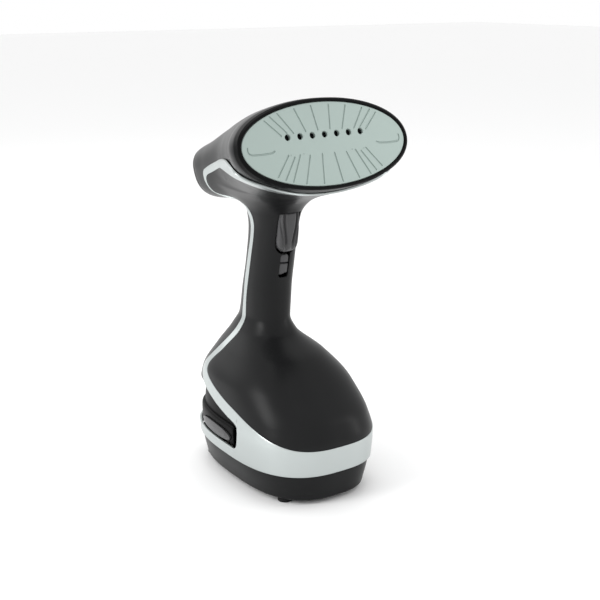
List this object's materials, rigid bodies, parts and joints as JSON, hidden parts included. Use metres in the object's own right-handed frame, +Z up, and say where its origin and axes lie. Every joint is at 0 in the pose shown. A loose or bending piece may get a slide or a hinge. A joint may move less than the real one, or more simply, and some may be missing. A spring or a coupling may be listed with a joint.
{
  "type": "garment steamer",
  "caption": "Handheld garment steamer with an oval steam head on a slim grip above a wide base that holds a pull-out water tank.",
  "frame": {"origin": "centre of the object's outline on the plane that its feet stand on", "axes": "-Y is the front, where the steam plate faces; +X is to the right as seen from the front; +Z is up"},
  "size_m": [0.1532, 0.175, 0.304],
  "materials": {
    "black_plastic": "fine satin moulded",
    "dark_plastic": "semi gloss moulded",
    "grey_plastic": "satin moulded",
    "silver_trim": "satin silver paint",
    "plate_metal": "fine satin",
    "cast_metal": "as cast",
    "steel": "plain",
    "brass": "machined",
    "ceramic": "matte",
    "silicone": "soft matte",
    "lens": "clear tinted",
    "board": "solder mask",
    "hose": "translucent matte",
    "wire": "sleeved",
    "coil": "moulded",
    "foot_rubber": "matte rubber",
    "tank_plastic": "smoked gloss"
  },
  "bodies": {
    "root": {"head_housing": "dark_plastic", "bezel_ring": "black_plastic", "steam_plate": "plate_metal", "plate_gasket": "silicone", "boiler_body": "cast_metal", "heating_element": "steel", "thermostat": "ceramic", "thermal_fuse": "ceramic", "heat_shield": "steel", "boiler_inlet": "brass", "end_cap": "black_plastic", "indicator_lens": "lens", "control_board": "board", "front_shell": "black_plastic", "rear_shell": "dark_plastic", "silver_trim": "silver_trim", "switch_bracket": "grey_plastic", "microswitch": "black_plastic", "trigger_pin": "steel", "trigger_spring": "steel", "steam_hose": "hose", "wire_harness": "wire", "lower_base": "black_plastic", "base_feet": "foot_rubber", "base_screws": "steel", "tank_tray": "dark_plastic", "pump_coil": "coil", "pump_body": "hose", "pump_mounts": "foot_rubber", "suction_hose": "hose", "dock_port": "grey_plastic", "terminal_block": "ceramic", "cord_gland": "foot_rubber"},
    "trigger": {"trigger": "grey_plastic"},
    "trigger_lock": {"trigger_lock": "grey_plastic"},
    "power_button": {"power_button": "grey_plastic"},
    "steam_button": {"steam_button": "grey_plastic"},
    "tank": {"tank_body": "tank_plastic", "tank_valve": "grey_plastic", "valve_seal": "silicone", "flap_pin": "steel", "latch_spring_left": "steel", "latch_spring_right": "steel"},
    "latch_left": {"latch_left": "grey_plastic"},
    "latch_right": {"latch_right": "grey_plastic"},
    "flap": {"filler_flap": "tank_plastic", "flap_seal": "silicone"}
  },
  "joints": [
    {"name": "trigger_pivot", "type": "hinge", "parent": "root", "child": "trigger", "pos_m": [0, -0.01, 0.21], "axis": [1, 0, 0], "range_deg": [0, 7], "stiffness_Nm_per_rad": 0.6, "springref_deg": -4.58, "deforming": ["trigger_spring"]},
    {"name": "trigger_lock_slide", "type": "slide", "parent": "root", "child": "trigger_lock", "axis": [0, 0.1891, -0.982], "range_m": [0, 0.003]},
    {"name": "power_button_press", "type": "slide", "parent": "root", "child": "power_button", "axis": [0, -0.9105, 0.4134], "range_m": [0, 0.001], "stiffness_N_per_m": 1500, "springref_m": -0.0006},
    {"name": "steam_button_press", "type": "slide", "parent": "root", "child": "steam_button", "axis": [0, -0.9105, 0.4134], "range_m": [0, 0.001], "stiffness_N_per_m": 1500, "springref_m": -0.0006},
    {"name": "tank_slide", "type": "slide", "parent": "root", "child": "tank", "axis": [0, 1, 0], "range_m": [0, 0.11]},
    {"name": "latch_left_press", "type": "slide", "parent": "tank", "child": "latch_left", "axis": [1, 0, 0], "range_m": [0, 0.001], "stiffness_N_per_m": 800, "springref_m": -0.001, "deforming": ["latch_spring_left"]},
    {"name": "latch_right_press", "type": "slide", "parent": "tank", "child": "latch_right", "axis": [-1, 0, 0], "range_m": [0, 0.001], "stiffness_N_per_m": 800, "springref_m": -0.001, "deforming": ["latch_spring_right"]},
    {"name": "flap_hinge", "type": "hinge", "parent": "tank", "child": "flap", "pos_m": [0, 0.072, 0.053], "axis": [-1, 0, 0], "range_deg": [0, 100]}
  ]
}
